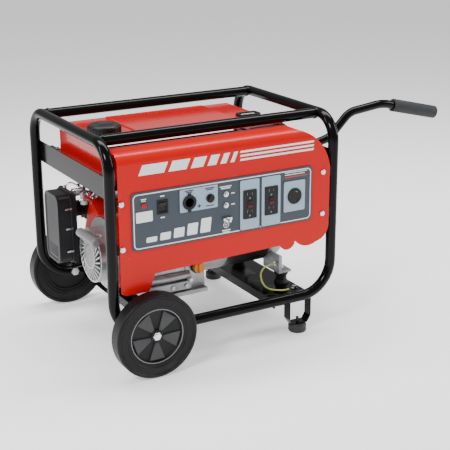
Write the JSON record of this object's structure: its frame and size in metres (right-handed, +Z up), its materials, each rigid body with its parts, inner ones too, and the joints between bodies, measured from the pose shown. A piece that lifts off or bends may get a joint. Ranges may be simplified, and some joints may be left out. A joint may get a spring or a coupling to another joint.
{
  "type": "portable generator",
  "caption": "Open-frame petrol generator on two wheels with fold-down tow handle, red tank and cover, recoil engine, alternator and socket panel.",
  "frame": {"origin": "centre of the whole footprint, on the ground", "axes": "+X towards the tow handle end, +Y towards the back, away from the control panel, +Z up"},
  "size_m": [1.0154, 0.5594, 0.5447],
  "materials": {
    "frame_black": "gloss black powder coat",
    "foot_rubber": "matt black rubber",
    "tyre_rubber": "satin black rubber",
    "hub_plastic": "dark grey moulded",
    "zinc": "bright zinc plated",
    "grip_foam": "dark grey foam rubber",
    "cast_alloy": "bare die casting",
    "valve_steel": "pressed cover",
    "plug_rubber": "moulded boot",
    "machined_steel": "machined",
    "flywheel_iron": "cast",
    "shroud_red": "gloss red",
    "recoil_silver": "silver paint",
    "reel_plastic": "moulded",
    "rope_cloth": "braided nylon",
    "starter_grip_plastic": "moulded",
    "filter_black": "grained moulded",
    "filter_foam": "open cell foam",
    "muffler_black": "heat resistant matt",
    "cap_orange": "moulded",
    "stator_black": "black",
    "wire_green": "yellow green insulation",
    "tank_red": "gloss red",
    "tank_black": "moulded",
    "seal_rubber": "rubber",
    "cover_red": "gloss red",
    "panel_slate": "satin slate",
    "lamp_red": "clear red",
    "device_black": "moulded",
    "reset_red": "moulded",
    "breaker_steel": "plated"
  },
  "bodies": {
    "frame": {"end_frames": "frame_black", "long_rails": "frame_black", "cross_beams": "frame_black", "foot_straps": "frame_black", "foot_pads": "foot_rubber", "axle_bolts": "zinc", "fasteners": "zinc", "handle_bracket": "frame_black", "crankcase": "cast_alloy", "cylinder": "cast_alloy", "valve_cover": "valve_steel", "spark_plug": "plug_rubber", "fan_shroud": "shroud_red", "recoil_housing": "recoil_silver", "carburettor": "cast_alloy", "air_filter_base": "filter_black", "air_filter_foam": "filter_foam", "muffler": "muffler_black", "stator": "stator_black", "alternator_end_cover": "cast_alloy", "rubber_mounts": "foot_rubber", "ground_wire": "wire_green", "fuel_tank": "tank_red", "fuel_gauge": "tank_black", "front_cover": "cover_red", "control_panel": "panel_slate", "oil_lamp": "lamp_red", "engine_switch_body": "device_black", "dc_socket": "device_black", "breaker_bodies": "breaker_steel", "ground_terminal": "zinc", "duplex_outlets": "device_black", "twist_lock_outlet": "device_black"},
    "front_wheel": {"front_tyre": "tyre_rubber", "front_hub": "hub_plastic"},
    "back_wheel": {"back_tyre": "tyre_rubber", "back_hub": "hub_plastic"},
    "tow_handle": {"handle_tube": "frame_black", "handle_grip": "grip_foam"},
    "crank": {"crankshaft": "machined_steel", "flywheel": "flywheel_iron", "rotor": "machined_steel"},
    "piston": {"piston": "cast_alloy"},
    "reel": {"recoil_reel": "reel_plastic", "starter_rope": "rope_cloth"},
    "starter_grip": {"starter_grip": "starter_grip_plastic"},
    "choke": {"choke_lever": "reel_plastic"},
    "fuel_valve": {"fuel_valve_lever": "reel_plastic"},
    "filter_cover": {"air_filter_cover": "filter_black"},
    "oil_cap": {"oil_cap": "cap_orange"},
    "cap_seal": {"fuel_cap_seal": "seal_rubber"},
    "fuel_cap": {"fuel_cap": "tank_black"},
    "switch_rocker": {"engine_switch_rocker": "device_black"},
    "dc_breaker": {"dc_breaker_button": "device_black"},
    "ac_breaker_upper": {"ac_breaker_button_upper": "breaker_steel"},
    "ac_breaker_lower": {"ac_breaker_button_lower": "breaker_steel"},
    "left_test": {"left_test_button": "device_black"},
    "left_reset": {"left_reset_button": "reset_red"},
    "right_test": {"right_test_button": "device_black"},
    "right_reset": {"right_reset_button": "reset_red"}
  },
  "joints": [
    {"name": "front_wheel_spin", "type": "hinge", "parent": "frame", "child": "front_wheel", "pos_m": [-0.40875, -0.2607, 0.099], "axis": [0, 1, 0], "continuous": true},
    {"name": "back_wheel_spin", "type": "hinge", "parent": "frame", "child": "back_wheel", "pos_m": [-0.40875, 0.2607, 0.099], "axis": [0, 1, 0], "continuous": true},
    {"name": "tow_handle_fold", "type": "hinge", "parent": "frame", "child": "tow_handle", "pos_m": [0.10675, -0.1, 0.434], "axis": [0, 1, 0], "range_deg": [0, 80]},
    {"name": "crank_spin", "type": "hinge", "parent": "frame", "child": "crank", "pos_m": [-0.27825, -0.02, 0.222], "axis": [1, 0, 0], "continuous": true},
    {"name": "piston_stroke", "type": "slide", "parent": "frame", "child": "piston", "axis": [0, 0.9063, 0.4226], "range_m": [-0.054, 0]},
    {"name": "reel_spin", "type": "hinge", "parent": "frame", "child": "reel", "pos_m": [-0.44825, -0.02, 0.222], "axis": [1, 0, 0], "range_deg": [0, 800]},
    {"name": "starter_pull", "type": "slide", "parent": "frame", "child": "starter_grip", "axis": [-1, 0, 0], "range_m": [0, 0.6]},
    {"name": "choke_turn", "type": "hinge", "parent": "frame", "child": "choke", "pos_m": [-0.37125, 0.12163, 0.30887], "axis": [0, 0, 1], "range_deg": [-40, 0]},
    {"name": "fuel_valve_turn", "type": "hinge", "parent": "frame", "child": "fuel_valve", "pos_m": [-0.39625, 0.14663, 0.26087], "axis": [0, 1, 0], "range_deg": [0, 90]},
    {"name": "filter_cover_off", "type": "slide", "parent": "frame", "child": "filter_cover", "axis": [-1, 0, 0], "range_m": [0, 0.06]},
    {"name": "oil_cap_out", "type": "slide", "parent": "frame", "child": "oil_cap", "axis": [0, -1, 0], "range_m": [0, 0.075]},
    {"name": "fuel_cap_lift", "type": "slide", "parent": "frame", "child": "cap_seal", "axis": [0, 0, 1], "range_m": [0, 0.05]},
    {"name": "fuel_cap_turn", "type": "hinge", "parent": "cap_seal", "child": "fuel_cap", "pos_m": [-0.40625, -0.015, 0.52], "axis": [0, 0, 1], "range_deg": [0, 90]},
    {"name": "switch_rock", "type": "hinge", "parent": "frame", "child": "switch_rocker", "pos_m": [-0.37025, -0.2355, 0.386], "axis": [1, 0, 0], "range_deg": [-22, 0]},
    {"name": "dc_breaker_push", "type": "slide", "parent": "frame", "child": "dc_breaker", "axis": [0, 1, 0], "range_m": [0, 0.003], "stiffness_N_per_m": 600, "springref_m": -0.001},
    {"name": "ac_breaker_upper_push", "type": "slide", "parent": "frame", "child": "ac_breaker_upper", "axis": [0, 1, 0], "range_m": [0, 0.003], "stiffness_N_per_m": 600, "springref_m": -0.001},
    {"name": "ac_breaker_lower_push", "type": "slide", "parent": "frame", "child": "ac_breaker_lower", "axis": [0, 1, 0], "range_m": [0, 0.003], "stiffness_N_per_m": 600, "springref_m": -0.001},
    {"name": "left_test_push", "type": "slide", "parent": "frame", "child": "left_test", "axis": [0, 1, 0], "range_m": [0, 0.0015], "stiffness_N_per_m": 600, "springref_m": -0.001},
    {"name": "left_reset_push", "type": "slide", "parent": "frame", "child": "left_reset", "axis": [0, 1, 0], "range_m": [0, 0.0015], "stiffness_N_per_m": 600, "springref_m": -0.001},
    {"name": "right_test_push", "type": "slide", "parent": "frame", "child": "right_test", "axis": [0, 1, 0], "range_m": [0, 0.0015], "stiffness_N_per_m": 600, "springref_m": -0.001},
    {"name": "right_reset_push", "type": "slide", "parent": "frame", "child": "right_reset", "axis": [0, 1, 0], "range_m": [0, 0.0015], "stiffness_N_per_m": 600, "springref_m": -0.001}
  ],
  "couplings": [
    {"joint": "reel_spin", "follows": "starter_pull", "rad_per_m": 22.222}
  ]
}
